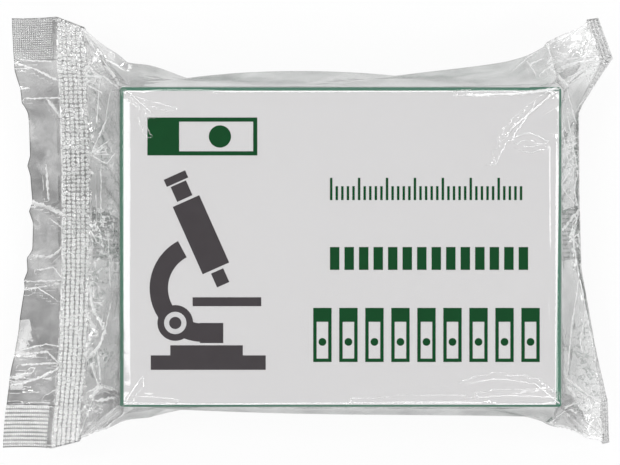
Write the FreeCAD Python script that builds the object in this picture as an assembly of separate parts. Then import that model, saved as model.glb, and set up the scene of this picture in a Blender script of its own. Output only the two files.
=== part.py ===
"""A carton of microscope slides, sealed in a clear flow-wrap film.

The carton is a card tray, full of slides that stand on their long edges, under a lift-off card
lid. The film is a tube round the carton: its two long edges are joined in a fin seal that lies
folded flat along the underside, and each end is closed by a crimped seal with its sides tucked in
as gussets. One end seal stands out straight. The other is folded down, and its two gusseted
corners stick out as ears.

Millimetres. +X runs along the slides, +Z is up, and the origin is the middle of the face that the
pack rests on.
"""

import FreeCAD
import Part
import math
import os
from FreeCAD import Vector

# The slides in the tray.
slide_length = 76.0
slide_width = 26.0
slide_thickness = 1.1
slide_count = 50
end_room = 1.0
stack_room = 0.2
head_room = 0.6

# The card of the tray and the lid.
card = 0.5
card_bend = 0.6
lid_play = 0.1
rim_height = 2.2

# The film, and how loosely it lies round the carton.
film = 0.1
film_gap = 0.05
corner_room = 0.4
end_gap = 0.3
billow = 3.2
flare = 6.0
flare_run = 6.0
tuck_run = 4.0
tuck_depth = 1.5
tuck_opening = 9.0

# The crimped end seals.
seal_width = 80.0
seal_shift = 2.6
gusset = 8.0
left_run = 6.7
right_run = 5.0
band = 5.2
crimp_ridges = 5
crimp_depth = 0.2

# The loose fin outside the straight seal, which droops in its middle.
fin_front = 10.9
fin_middle = 5.7
fin_back = 9.3
fin_droop = 8.0

# The seal that is folded down. It hangs straight in its middle. Towards each end its line turns
# outwards, since the four layers at the gussets are too stiff to fold, and comes back: that is an
# ear. Each leg of the line, from the straight middle to the end, is given as (length, degrees
# outwards, degrees up, the band's lean in degrees at the leg's far end).
hem = 3.5
back_ear = ((10.2, 20.0, 5.0, 17.0), (gusset, -21.0, 13.0, 14.0))
front_ear = ((25.0, 13.0, 0.0, -11.0), (gusset, -1.5, 5.5, -14.0))

# The fin seal along the underside.
back_seal_width = 10.0

# Sizes that follow from the ones above.
tray_length = slide_length + end_room + 2 * card
tray_width = slide_count * slide_thickness + stack_room + 2 * card
tray_height = card + slide_width + head_room
lid_length = tray_length + 2 * (lid_play + card)
lid_width = tray_width + 2 * (lid_play + card)
film_low = 0.0
back_seal_high = 2 * film
tray_low = back_seal_high + film + film_gap
tray_high = tray_low + tray_height
lid_high = tray_high + card
film_high = lid_high + film_gap + film
seal_level = (film_low + film_high) / 2
carton_end = lid_length / 2
carton_side = lid_width / 2
left_seal = -(carton_end + left_run)
right_seal = carton_end + right_run
seal_back = seal_shift + seal_width / 2
seal_front = seal_shift - seal_width / 2


def box_between(low, high):
    size = high - low
    return Part.makeBox(size.x, size.y, size.z, low)


def ring_at(x, points):
    """The corners of a cross-section in the plane at x, from its (y, z) points."""
    return [Vector(x, y, z) for y, z in points]


def closed_wire(ring):
    return Part.makePolygon(ring + ring[:1])


def folded_loft(rings, back_creases=(), end_faces=None):
    """A solid of flat facets between rings of as many corners. Each panel between two rings is
    folded along a crease from its first corner to the next ring's second, or the other way for the
    panels in back_creases. end_faces close it where its last ring isn't flat."""
    end_faces = end_faces or [Part.Face(closed_wire(rings[-1]))]
    faces = [Part.Face(closed_wire(rings[0]))] + end_faces
    for ring, following in zip(rings, rings[1:]):
        for index, corner in enumerate(ring):
            after = (index + 1) % len(ring)
            panel = [corner, ring[after], following[after], following[index]]
            if index in back_creases:
                panel = panel[1:] + panel[:1]
            faces.append(Part.Face(closed_wire(panel[:3])))
            faces.append(Part.Face(closed_wire([panel[0]] + panel[2:])))
    solid = Part.Solid(Part.Shell(faces))
    return solid if solid.Volume > 0 else solid.reversed()


# Carton

def bend_edges(shape, edges):
    return shape.makeFillet(card_bend, edges)


def upright_edges(shape):
    """The vertical edges of a box."""
    return [edge for edge in shape.Edges
            if abs(edge.tangentAt(edge.FirstParameter).z) > 0.99]


def outer_top_edges(shape, height):
    """The edges that lie wholly at one height."""
    return [edge for edge in shape.Edges
            if abs(edge.BoundBox.ZMin - height) < 1e-6 and abs(edge.BoundBox.ZMax - height) < 1e-6]


def carton_lid():
    """The lift-off lid: a card panel with a skirt on four sides, open below."""
    low = tray_low + rim_height
    shell = box_between(Vector(-lid_length / 2, -lid_width / 2, low),
                        Vector(lid_length / 2, lid_width / 2, lid_high))
    shell = bend_edges(shell, upright_edges(shell) + outer_top_edges(shell, lid_high))
    inside_length = lid_length - 2 * card
    inside_width = lid_width - 2 * card
    hollow = box_between(Vector(-inside_length / 2, -inside_width / 2, low - 1),
                         Vector(inside_length / 2, inside_width / 2, tray_high))
    return shell.cut(hollow)


def filled_tray():
    """The tray and the slides in it, which nothing in the sealed pack shows apart."""
    body = box_between(Vector(-tray_length / 2, -tray_width / 2, tray_low),
                       Vector(tray_length / 2, tray_width / 2, tray_high))
    return bend_edges(body, upright_edges(body) + outer_top_edges(body, tray_low))


# Film: the sleeve and its two closures

def sleeve_ring(x, inset):
    """The sleeve's section round the carton: flat above and below, bowed outwards at each side."""
    side = carton_side + corner_room - inset
    high = film_high - inset
    low = film_low + inset
    bow = billow - corner_room
    chord = film_high - film_low
    radius = (chord ** 2 / 4 + bow ** 2) / (2 * bow) - inset
    centre = carton_side + billow - inset - radius

    def on_bow(z, sign):
        reach = math.sqrt(radius ** 2 - (z - seal_level) ** 2)
        return Vector(x, sign * (centre + reach), z)

    def half_bow(start, end, sign):
        middle = on_bow((start + end) / 2, sign)
        first = on_bow(start, sign) if start == seal_level else Vector(x, sign * side, start)
        last = on_bow(end, sign) if end == seal_level else Vector(x, sign * side, end)
        return Part.Arc(first, middle, last).toShape()

    return Part.Wire([
        Part.makeLine(Vector(x, -side, high), Vector(x, side, high)),
        half_bow(high, seal_level, 1),
        half_bow(seal_level, low, 1),
        Part.makeLine(Vector(x, side, low), Vector(x, -side, low)),
        half_bow(low, seal_level, -1),
        half_bow(seal_level, high, -1),
    ])


def straight_line():
    """The inner line of the straight seal, from front to back, through the inner tips of its
    gussets. Each station is (place on the flat seal from its middle, point, lean)."""
    places = (-seal_width / 2, gusset - seal_width / 2, seal_width / 2 - gusset, seal_width / 2)
    return [(place, Vector(left_seal, seal_shift + place, seal_level), 0.0) for place in places]


def ear_line(start, side, legs):
    """The stations that the legs of an ear lead to, from the station where the straight middle ends."""
    place, point, lean = start
    stations = []
    for length, outward, up, lean in legs:
        level = length * math.cos(math.radians(up))
        point = point + Vector(level * math.sin(math.radians(outward)),
                               side * level * math.cos(math.radians(outward)),
                               length * math.sin(math.radians(up)))
        place += side * length
        stations.append((place, point, lean))
    return stations


def folded_line():
    """The inner line of the folded seal, from front to back, in stations like straight_line's."""
    front = sum(leg[0] for leg in front_ear) - seal_width / 2
    back = seal_width / 2 - sum(leg[0] for leg in back_ear)
    middle = [(place, Vector(right_seal, seal_shift + place, seal_level), 0.0)
              for place in (front, back)]
    return ear_line(middle[0], -1, front_ear)[::-1] + middle + ear_line(middle[1], 1, back_ear)


def step(start, towards, length):
    """The move of one length from a point towards another."""
    return (towards - start).normalize() * length


def mouth_ring(side, line, inset):
    """The closure's section at the carton's end: flat above and below, with a waist point at each side."""
    half = carton_side + corner_room - inset
    waist = carton_side + flare - inset
    across = [place * half / (seal_width / 2) for place, point, lean in line]
    return ring_at(side * (carton_end + end_gap - inset),
                   [(y, film_high - inset) for y in across] + [(waist, seal_level)]
                   + [(y, film_low + inset) for y in across[::-1]] + [(-waist, seal_level)])


def lips_ring(side, line, inset):
    """The closure's edge along the seal's line, with as many corners as its mouth."""
    slot = Vector(0, 0, 2 * film if inset == 0 else film / 4)
    back_off = Vector(-side * inset, 0, 0)
    points = [point + back_off for place, point, lean in line]
    front = points[0] + step(points[0], points[1], 2 * inset)
    back = points[-1] + step(points[-1], points[-2], 2 * inset)
    points[0] += step(points[0], points[1], 3 * film + 3 * inset)
    points[-1] += step(points[-1], points[-2], 3 * film + 3 * inset)
    return ([point + slot for point in points] + [back]
            + [point - slot for point in points[::-1]] + [front])


def lips_faces(ring):
    """The narrow faces between the upper and lower corners of a lips ring, which follow its line."""
    count = len(ring) // 2 - 1
    upper = ring[-1:] + ring[:count + 1]
    lower = ring[-1:] + ring[count + 1:-1][::-1] + [ring[count]]
    faces = []
    for index in range(count + 1):
        corners = upper[index:index + 2] + lower[index:index + 2][::-1]
        if index == 0:
            corners = corners[:3]
        if index == count:
            corners = corners[:1] + corners[2:]
        faces.append(Part.Face(closed_wire(corners)))
    return faces


def corners_only(ring, line):
    """The closed outline of a mouth, without the places along its straight top and bottom."""
    count = len(line)
    return closed_wire([ring[i] for i in (0, count - 1, count, count + 1, 2 * count, 2 * count + 1)])


def film_body(inset):
    """The whole sleeve and both closures as one solid, drawn in by inset from the film's outside.
    In each closure a crease runs from each corner of the carton to the end of the seal."""
    starts = []
    pieces = []
    for side, line in ((-1, straight_line()), (1, folded_line())):
        start = sleeve_ring(side * (carton_end - flare_run), inset)
        mouth = mouth_ring(side, line, inset)
        starts.append(start)
        pieces.append(Part.makeLoft([start, corners_only(mouth, line)], True, True))
        lips = lips_ring(side, line, inset)
        pieces.append(folded_loft([mouth, lips], (len(line), 2 * len(line) + 1), lips_faces(lips)))
    sleeve = Part.makeLoft(starts, True, True)
    return sleeve.fuse(pieces).removeSplitter()


def gusset_tuck(side, line, across, grow):
    """The air in the fold where one side of the tube is tucked in between the top and bottom layers."""
    waist = carton_side + flare
    fold = carton_side + tuck_depth
    end, tip = (line[-1], line[-2]) if across > 0 else (line[0], line[1])
    back_off = Vector(-side * 4 * film, 0, 0)
    # Each section of the wedge: its inner tip, how far out it is open, and by how much.
    sections = [(Vector(side * (carton_end - tuck_run), across * (carton_side + billow), seal_level),
                 Vector(side * (carton_end - tuck_run), across * waist, seal_level), film),
                (Vector(side * (carton_end + end_gap), across * fold, seal_level),
                 Vector(side * (carton_end + end_gap), across * waist, seal_level), tuck_opening / 2),
                (tip[1] + back_off, end[1] + back_off, film)]
    rings = []
    for inner, outer, half in sections:
        slope = half / (outer - inner).Length
        clear = outer + step(inner, outer, flare)
        deep = inner - step(inner, outer, 1.5 * grow)
        reach = Vector(0, 0, slope * (clear - inner).Length + grow * math.hypot(1, slope))
        rings.append([deep, clear + reach, clear - reach])
    return folded_loft(rings)


def back_seal_channel(grow):
    """The shallow rise in the floor of the sleeve over the folded back seal."""
    half = back_seal_width / 2 + film_gap + grow
    mouth = carton_end + end_gap
    return box_between(Vector(-mouth, -half, film_low - card), Vector(mouth, half, back_seal_high + grow))


def film_sleeve():
    """The thin closed tube: its outside, less the tucks, less the hollow that holds the carton."""
    outside = film_body(0).cut(back_seal_channel(0))
    hollow = film_body(film).cut(back_seal_channel(film))
    for side, line in ((-1, straight_line()), (1, folded_line())):
        for across in (-1, 1):
            outside = outside.cut(gusset_tuck(side, line, across, 0))
            hollow = hollow.cut(gusset_tuck(side, line, across, film))
    return outside.cut(hollow)


# Film: seals

def crimped_profile(half_thickness, plain=0.0):
    """A zigzag strip as (along, across) points: out along one face and back along the other, with
    a plain length beyond the zigzag."""
    steps = 2 * crimp_ridges
    wave = [(band * i / steps, crimp_depth / 2 * (1 if i % 2 else -1)) for i in range(1, steps)]
    wave = [(0.0, 0.0)] + wave + [(band, 0.0)]
    if plain:
        wave.append((band + plain, 0.0))
    near = [(along, across + half_thickness) for along, across in wave]
    far = [(along, across - half_thickness) for along, across in wave]
    return near + far[::-1]


def straight_band(front, back, half_thickness):
    """The straight seal's crimped band, from front to back along Y."""
    corners = [Vector(left_seal - along, front, seal_level + across)
               for along, across in crimped_profile(half_thickness)]
    return Part.Face(closed_wire(corners)).extrude(Vector(0, back - front, 0))


def hanging_rings(half_thickness):
    """The folded seal's crimped band and hem, as a ring at each station of its line."""
    line = folded_line()
    points = [point for place, point, lean in line]
    rings = []
    for index, (place, point, lean) in enumerate(line):
        along = points[min(index + 1, len(line) - 1)] - points[max(index - 1, 0)]
        outward = Vector(along.y, -along.x, 0).normalize()
        tilt = math.radians(lean)
        down = outward * math.sin(tilt) - Vector(0, 0, math.cos(tilt))
        through = outward * math.cos(tilt) + Vector(0, 0, math.sin(tilt))
        rings.append([point + down * along + through * across
                      for along, across in crimped_profile(half_thickness, hem)])
    return rings


def end_zones():
    """The two stretches of a seal where the gusset makes four layers."""
    return ((seal_front, seal_front + gusset), (seal_back - gusset, seal_back))


def loose_fin(half_thickness):
    """The layers outside the straight band, from its edge out to a drooping cut edge."""
    root = left_seal - band
    inner = Part.makeLine(Vector(root, seal_front, seal_level), Vector(root, seal_back, seal_level))
    cut_edge = Part.Arc(Vector(root - fin_front, seal_front, seal_level),
                        Vector(root - fin_middle, seal_shift, seal_level - fin_droop),
                        Vector(root - fin_back, seal_back, seal_level)).toShape()
    sheet = Part.makeRuledSurface(inner, cut_edge)
    sheet.translate(Vector(0, 0, -half_thickness))
    return sheet.extrude(Vector(0, 0, 2 * half_thickness))


def straight_seal():
    pieces = [straight_band(seal_front, seal_back, film), loose_fin(film)]
    four_layer_fin = loose_fin(2 * film)
    for front, back in end_zones():
        pieces.append(straight_band(front, back, 2 * film))
        zone = box_between(Vector(left_seal - band - 2 * fin_front, front, 0),
                           Vector(left_seal - band, back, film_high))
        pieces.append(four_layer_fin.common(zone))
    return pieces


def folded_seal():
    """The band and hem that hang from the folded line, in two layers, and in four at the ears."""
    two, four = hanging_rings(film), hanging_rings(2 * film)
    return [folded_loft(two), folded_loft(four[:2]), folded_loft(four[-2:])]


def back_seal():
    """The fin seal folded flat along the underside, level with the film beside it, and up the
    slope of each end."""
    half = back_seal_width / 2
    mouth = carton_end + end_gap
    pieces = [box_between(Vector(-mouth, -half, film_low), Vector(mouth, half, back_seal_high))]
    top = seal_level - 2 * film
    for x, seal in ((-mouth, left_seal), (mouth, right_seal)):
        low = ring_at(x, [(-half, film_low), (half, film_low),
                          (half, back_seal_high), (-half, back_seal_high)])
        high = ring_at(seal, [(-half, top - 2 * film), (half, top - 2 * film),
                              (half, top), (-half, top)])
        pieces.append(folded_loft([low, high]))
    return pieces


def film_wrap():
    seals = straight_seal() + folded_seal() + back_seal()
    return film_sleeve().fuse(seals).removeSplitter()


def main():
    os.makedirs("parts", exist_ok=True)
    nodes = {"film_wrap": film_wrap, "carton_lid": carton_lid, "filled_tray": filled_tray}
    for name, make in nodes.items():
        shape = make()
        box = shape.BoundBox
        print(f"{name}: {len(shape.Solids)} solid(s), valid {shape.isValid()}, "
              f"volume {shape.Volume:.1f} mm3, "
              f"X {box.XMin:.2f} to {box.XMax:.2f}, Y {box.YMin:.2f} to {box.YMax:.2f}, "
              f"Z {box.ZMin:.2f} to {box.ZMax:.2f}")
        shape.exportStep(f"parts/{name}.step")


main()
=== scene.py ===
"""A sealed carton of microscope slides, seen from straight above.

The carton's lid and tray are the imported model's own parts, with better materials. Its film wrap is
modelled here as what it is: a tube of clear film, welded flat at both ends with its sides tucked in as
gussets. The tube starts flat round the carton, and a small cloth solver of this script's own folds it:
position based dynamics on a regular grid whose rest lengths are those of the flat film.
"""

import math

import bpy
import numpy as np
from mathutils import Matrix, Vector


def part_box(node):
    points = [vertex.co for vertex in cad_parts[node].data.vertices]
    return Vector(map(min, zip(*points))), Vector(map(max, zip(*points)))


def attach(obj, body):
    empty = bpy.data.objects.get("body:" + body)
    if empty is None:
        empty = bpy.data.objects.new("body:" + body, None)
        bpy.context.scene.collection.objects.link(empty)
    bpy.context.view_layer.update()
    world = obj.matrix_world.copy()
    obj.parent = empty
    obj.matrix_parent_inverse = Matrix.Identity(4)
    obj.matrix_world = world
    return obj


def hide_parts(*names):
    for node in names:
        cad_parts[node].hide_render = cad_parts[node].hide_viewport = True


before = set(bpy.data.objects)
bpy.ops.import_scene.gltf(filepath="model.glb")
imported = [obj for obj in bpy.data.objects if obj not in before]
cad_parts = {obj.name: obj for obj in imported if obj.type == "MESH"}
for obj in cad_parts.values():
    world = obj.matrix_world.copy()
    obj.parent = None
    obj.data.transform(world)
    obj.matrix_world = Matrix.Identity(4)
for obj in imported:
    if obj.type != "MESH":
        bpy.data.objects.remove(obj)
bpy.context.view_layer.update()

mm = 0.001

# ------------ sizes, in millimetres

lid_low, lid_high = (np.array(corner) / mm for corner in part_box("carton_lid"))
tray_low = np.array(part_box("filled_tray")[0]) / mm

# The end seals: where they are, and how wide the flat film is there.
seal_level = 14.05
seal_half, seal_shift, gusset = 40.0, 2.6, 8.0
left_seal, right_seal = -46.3, 44.6
girth = 4 * (seal_half + gusset)
back_seal = 10.0

# The film's length from cut edge to cut edge, as (zone, length, cells at the finest level).
zones = (
    ("left fin", 9.4, 16),
    ("left band", 5.2, 32),
    ("left closure", 15.9, 32),
    ("left shoulder", 12.0, 20),
    ("middle", 55.8, 40),
    ("right shoulder", 12.0, 20),
    ("right closure", 14.4, 32),
    ("right band", 5.2, 32),
    ("right fin", 3.6, 8),
)
columns = 384

# The spare girth is taken up under the carton, out of the rest lengths of a strip this wide.
pleat, pleat_wide = 19.9, 60

# The left band isn't quite straight or flat: (y, shift along x, height) along it.
band_line = (
    (-37.4, -1.9, 0.0),
    (-30.0, -1.3, 0.5),
    (-22.5, -0.8, -0.7),
    (-15.0, -0.3, 0.5),
    (-2.0, 0.0, -0.6),
    (6.0, 0.1, 0.4),
    (15.0, 0.0, -0.3),
    (24.0, -0.2, 0.6),
    (33.0, -0.7, -0.6),
    (42.6, -0.9, 0.3),
)

# How far the loose fin beyond it droops, in degrees below level: (y, angle).
fin_droop = (
    (-37.4, 8.0),
    (-32.0, 8.0),
    (-23.0, 16.0),
    (-16.0, 28.0),
    (-8.0, 35.0),
    (-3.5, 41.0),
    (-1.0, 46.5),
    (6.0, 46.0),
    (12.0, 43.5),
    (23.0, 42.5),
    (26.0, 41.0),
    (30.0, 30.0),
    (35.0, 22.0),
    (42.6, 20.0),
)

# The right band is folded down and hangs from this line: (y when flat, then x, y and z as folded). It bends
# outwards at both ends, where the four layers of the gussets are too stiff to fold, and those are the
# pack's ears.
folded_line = (
    (-37.4, 48.6, -36.5, 14.8),
    (-29.4, 48.5, -28.7, 14.0),
    (-17.0, 47.0, -16.5, 13.8),
    (-4.4, 44.8, -4.2, 14.0),
    (10.0, 44.4, 10.1, 14.1),
    (24.4, 44.3, 24.8, 14.1),
    (34.6, 48.3, 34.6, 15.0),
    (42.6, 45.5, 41.8, 16.8),
)

# Which way it hangs there: (y when flat, lean along x, lean along y), for one unit of its length.
folded_lean = (
    (-37.4, 0.36, -0.04),
    (-29.4, 0.34, 0.0),
    (-17.0, 0.10, 0.0),
    (-4.4, 0.0, 0.0),
    (24.4, 0.03, 0.0),
    (34.6, 0.52, 0.12),
    (42.6, 0.50, 0.14),
)

# Folds that cross the loose fin, from the band to its cut edge: (y, how far the film stands up there).
fin_folds = (
    (-37.4, 0.0),
    (-30.4, -0.3),
    (-29.0, 0.7),
    (-27.2, -0.5),
    (-24.6, 0.8),
    (-22.8, 0.1),
    (-20.8, -0.7),
    (-13.6, 0.1),
    (-7.8, -0.5),
    (-6.4, 0.5),
    (-4.6, -0.3),
    (-2.6, 1.0),
    (-0.6, -0.2),
    (4.4, -0.5),
    (6.6, 0.9),
    (8.4, -0.6),
    (13.2, -0.3),
    (15.2, 0.8),
    (17.0, -0.4),
    (24.8, -0.6),
    (27.2, 0.8),
    (29.8, -0.5),
    (33.2, 0.8),
    (34.6, 0.0),
    (42.6, 0.0),
)

# Creases in the upper side of the film, seen from above: (x and y of each end, width, height at the first
# end, height at the second).
creases = (
    # over the carton's top
    ((-37.2, -26.0), (-37.2, 26.0), 2.2, 0.32, 0.20),
    ((38.1, -26.0), (38.3, 19.0), 1.5, 0.34, 0.38),
    ((38.3, 19.0), (33.4, 21.6), 1.6, 0.38, 0.16),
    ((38.4, 27.4), (23.0, 26.6), 2.6, 0.65, 0.12),
    ((37.6, 26.4), (30.0, 20.4), 1.9, 0.50, 0.12),
    ((35.0, 24.8), (30.8, 18.6), 1.3, 0.32, 0.12),
    ((30.4, 20.8), (34.8, 17.4), 1.1, 0.30, 0.22),
    ((32.4, 18.6), (33.2, 12.0), 0.9, 0.20, 0.06),
    ((38.6, -27.8), (34.8, -24.4), 1.2, 0.36, 0.10),
    ((36.6, -24.8), (24.0, -26.4), 1.2, 0.36, 0.10),
    ((26.0, -27.4), (-14.0, -27.7), 1.0, 0.28, 0.20),
    ((-38.6, -27.8), (-36.2, -24.2), 1.2, 0.36, 0.12),
    ((-37.6, -24.8), (-29.0, -26.8), 1.2, 0.34, 0.10),
    ((-38.8, 28.0), (-34.0, 24.6), 1.3, 0.36, 0.10),
    ((-37.0, 27.6), (-35.0, 21.4), 1.0, 0.26, 0.10),
    ((-36.4, 27.4), (-29.6, 25.8), 1.2, 0.30, 0.06),
    ((-22.0, 27.4), (24.0, 27.4), 1.3, 0.34, 0.26),
)

# Sharp folds, seen from above, whose lines are painted white, partly as the film's stress-whitening and
# partly as painted highlights: (points, width, how white).
fold_lines = (
    # over the carton's top, where the white lines are painted reflections of the lamps
    (((38.6, 28.0), (31.0, 21.6), (29.6, 19.6)), 0.20, 0.7),
    (((34.4, 24.8), (30.4, 19.2)), 0.14, 0.6),
    (((38.7, 28.3), (31.0, 27.4), (22.0, 27.2)), 0.34, 0.8),
    (((30.6, 19.4), (33.6, 20.6), (36.2, 19.4)), 0.12, 0.5),
    (((35.9, 17.4), (33.9, 16.8), (32.3, 17.3)), 0.10, 0.4),
    (((29.8, 19.0), (27.8, 14.8)), 0.12, 0.4),
    (((39.0, -27.9), (34.8, -24.4)), 0.16, 0.7),
    (((38.4, -26.9), (30.0, -26.6), (24.6, -26.9)), 0.14, 0.6),
    (((33.4, -24.2), (28.0, -23.6), (23.0, -24.4)), 0.10, 0.5),
    (((22.6, -27.6), (2.0, -27.9)), 0.10, 0.4),
    (((-38.6, -27.9), (-36.2, -24.2)), 0.14, 0.5),
    (((-37.4, -26.6), (-30.0, -27.2)), 0.12, 0.5),
    (((-38.2, 27.9), (-34.0, 24.2)), 0.16, 0.5),
    (((-36.6, 26.8), (-30.4, 25.2)), 0.12, 0.4),
    (((-35.4, 23.6), (-34.2, 20.4)), 0.10, 0.35),
    # across the loose fin, from the back to the front
    (((-60.4, 34.2), (-56.7, 33.1), (-52.8, 31.1)), 0.28, 0.9),
    (((-59.6, 34.9), (-53.7, 34.4)), 0.22, 0.8),
    (((-58.3, 27.7), (-51.9, 27.6)), 0.22, 0.8),
    (((-53.9, 26.8), (-51.7, 24.0)), 0.45, 0.9),
    (((-54.8, 14.6), (-54.6, 9.2)), 0.30, 0.8),
    (((-57.8, 8.3), (-54.0, 7.2), (-51.1, 5.9)), 0.55, 1.0),
    (((-53.7, 4.9), (-51.3, 3.4)), 0.25, 0.7),
    (((-57.4, -1.8), (-53.7, -2.0), (-51.5, -0.1)), 0.35, 0.9),
    (((-56.5, -4.4), (-53.3, -3.8), (-51.5, -5.8)), 0.20, 0.7),
    (((-58.5, -6.6), (-51.1, -6.2)), 0.20, 0.9),
    (((-58.9, -8.1), (-51.9, -6.8)), 0.26, 0.9),
    (((-56.1, -8.1), (-52.8, -9.8)), 0.16, 0.7),
    (((-60.0, -19.5), (-54.6, -18.2), (-51.9, -18.5)), 0.20, 0.8),
    (((-60.0, -20.2), (-54.5, -19.6), (-52.2, -21.4)), 0.26, 0.9),
    (((-59.3, -22.2), (-51.9, -21.6)), 0.22, 0.9),
    (((-60.4, -25.7), (-55.6, -24.4), (-52.2, -22.6)), 0.34, 0.9),
    (((-60.8, -24.4), (-57.6, -23.6)), 0.60, 0.9),
    (((-54.4, -27.6), (-52.8, -26.6)), 0.16, 0.7),
    (((-61.8, -29.6), (-53.7, -29.6)), 0.20, 0.8),
    # the left closure, from the back to the front
    (((-46.7, 40.4), (-38.4, 33.6), (-34.0, 31.6)), 0.14, 0.6),
    (((-46.0, 38.4), (-38.9, 33.0)), 0.12, 0.6),
    (((-46.7, 38.8), (-45.0, 34.6)), 0.30, 0.8),
    (((-47.0, 33.4), (-45.0, 33.9), (-42.2, 32.3), (-40.4, 30.0)), 0.45, 1.0),
    (((-46.8, 31.6), (-43.4, 31.3), (-40.6, 29.2)), 0.30, 0.9),
    (((-46.8, 30.0), (-44.2, 28.6)), 0.25, 0.8),
    (((-44.4, 29.8), (-44.9, 23.0)), 0.16, 0.6),
    (((-42.2, 28.1), (-43.6, 21.6)), 0.12, 0.5),
    (((-45.9, 17.4), (-43.1, 23.2)), 0.20, 0.9),
    (((-45.9, 17.3), (-42.8, 19.4)), 0.16, 0.9),
    (((-45.9, 17.1), (-42.6, 17.0)), 0.14, 0.7),
    (((-45.9, 16.9), (-42.9, 15.2), (-41.6, 16.8)), 0.16, 0.8),
    (((-44.1, 14.6), (-44.1, 4.6)), 0.12, 0.8),
    (((-42.6, 2.2), (-42.2, -7.1)), 0.10, 0.5),
    (((-46.2, 3.0), (-44.8, 0.8)), 0.20, 0.7),
    (((-46.3, -7.0), (-45.8, -11.0), (-43.4, -15.4)), 0.36, 1.0),
    (((-43.4, -15.6), (-44.2, -18.3), (-46.3, -20.1)), 0.34, 1.0),
    (((-42.0, -10.4), (-43.2, -15.2)), 0.16, 0.7),
    (((-44.6, -19.8), (-44.0, -24.4)), 0.22, 0.9),
    (((-45.9, -21.8), (-44.3, -25.7), (-46.3, -26.8)), 0.28, 0.9),
    (((-46.0, -27.8), (-43.7, -25.6), (-41.6, -25.9)), 0.50, 1.0),
    (((-44.6, -28.4), (-41.4, -27.6)), 0.40, 0.9),
    (((-48.5, -35.9), (-45.7, -28.5)), 0.16, 0.6),
    (((-48.3, -36.2), (-41.2, -29.6)), 0.14, 0.7),
    (((-46.6, -35.4), (-40.6, -30.2)), 0.12, 0.5),
    # the back ear
    (((31.6, 32.2), (34.8, 35.0), (40.7, 38.4), (45.1, 41.2)), 0.14, 0.8),
    (((36.6, 31.6), (39.2, 33.6), (41.8, 34.4), (46.2, 35.0), (50.0, 35.0)), 0.24, 1.0),
    (((34.2, 34.2), (35.4, 31.6)), 0.16, 0.7),
    (((45.1, 41.2), (41.6, 37.8)), 0.14, 0.7),
    (((35.2, 33.6), (36.9, 34.3)), 0.24, 0.7),
    (((37.5, 33.2), (38.5, 34.3), (39.8, 34.8)), 0.20, 0.7),
    (((39.9, 32.6), (44.0, 33.8), (49.6, 34.4)), 0.55, 1.0),
    (((41.8, 30.9), (45.0, 32.6), (48.8, 33.4)), 0.20, 0.9),
    (((38.4, 32.0), (40.6, 29.8)), 0.50, 0.9),
    (((44.4, 26.1), (49.3, 32.2)), 0.16, 0.8),
    (((39.8, 31.4), (41.2, 29.3), (42.3, 26.8), (43.6, 23.4)), 0.22, 0.9),
    # down the right closure
    (((40.4, 24.6), (41.0, 20.4), (42.2, 15.6)), 0.14, 0.7),
    (((42.0, 24.0), (44.0, 14.5)), 0.16, 0.8),
    (((42.2, 15.6), (42.9, 14.6), (40.5, 11.3)), 0.22, 0.9),
    (((40.7, 11.0), (44.3, 7.0)), 0.14, 0.6),
    (((44.3, 6.8), (42.4, 4.6), (41.0, 3.1)), 0.36, 0.9),
    (((44.2, 14.0), (43.4, 10.6), (44.2, 7.2)), 0.14, 0.7),
    (((44.2, 6.4), (43.1, 1.6), (44.3, -5.4)), 0.18, 0.8),
    (((40.8, 2.0), (40.9, -8.0)), 0.10, 0.4),
    (((44.3, -6.0), (42.6, -14.6), (41.4, -22.6)), 0.18, 0.9),
    (((44.4, -5.8), (46.8, -17.8), (48.4, -24.8)), 0.20, 0.9),
    (((45.5, -11.7), (44.3, -17.8), (44.8, -19.2)), 0.22, 0.9),
    (((45.6, -11.3), (46.8, -17.6)), 0.14, 0.8),
    # the front ear
    (((41.3, -24.0), (45.6, -27.2), (50.3, -30.0)), 0.30, 1.0),
    (((41.8, -25.0), (44.6, -27.2)), 0.14, 0.8),
    (((41.6, -25.6), (43.8, -28.4), (41.4, -29.2)), 0.45, 0.9),
    (((43.8, -27.8), (46.2, -28.9), (47.3, -31.6), (49.1, -34.8)), 0.32, 1.0),
    (((42.5, -30.0), (45.3, -32.0), (48.8, -35.3)), 0.26, 0.9),
    (((44.4, -29.6), (46.2, -31.0)), 0.50, 0.9),
    (((37.9, -31.8), (41.0, -30.0)), 0.20, 0.8),
    (((41.9, -31.0), (44.0, -33.7)), 0.45, 0.9),
    (((37.6, -31.9), (44.3, -33.8), (47.0, -35.2)), 0.16, 0.7),
)
fold_rise = 0.30

crimp_ridges, crimp_depth = 6, 0.16

# The film stays this far from the card, whose edges are this round, and from the floor.
off_card, card_edge, off_floor = 0.08, 0.6, 0.25

# Above and under the carton the film doesn't slide sideways, within this distance of its middle.
unsliding = 26


# ------------ the film's folds


def smooth(t):
    t = np.clip(t, 0, 1)
    return t * t * (3 - 2 * t)


def along(stations, y, k=1):
    return np.interp(y, [s[0] for s in stations], [s[k] for s in stations])


def flat_grid(step):
    """Rows' places along the film, columns' places round it, and each zone's first and last row."""
    rows, zone = [0.0], {}
    for name, length, cells in zones:
        first = len(rows) - 1
        rows += list(rows[-1] + length * np.arange(1, cells // step + 1) / (cells // step))
        zone[name] = (first, len(rows) - 1)
    return np.array(rows), girth * np.arange(columns // step) / (columns // step), zone


def from_middle(s):
    """How far round the film each column is from the middle of the top."""
    return np.minimum(s, girth - s)


def flat_section(s):
    """(y, layer) of each column where the tube is pressed flat, with its sides tucked in."""
    side = np.where(s <= girth / 2, 1.0, -1.0)
    t = from_middle(s)
    leaves = [t <= seal_half, t <= seal_half + gusset, t <= seal_half + 2 * gusset]
    y = np.select(leaves, [t, 2 * seal_half - t, t - 2 * gusset], girth / 2 - t)
    layer = np.select(leaves, [1.5, 0.5, -0.5], -1.5)
    layer = np.where(y < seal_half - gusset, np.sign(layer) * 0.5, layer)
    return side * y + seal_shift, layer


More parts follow.
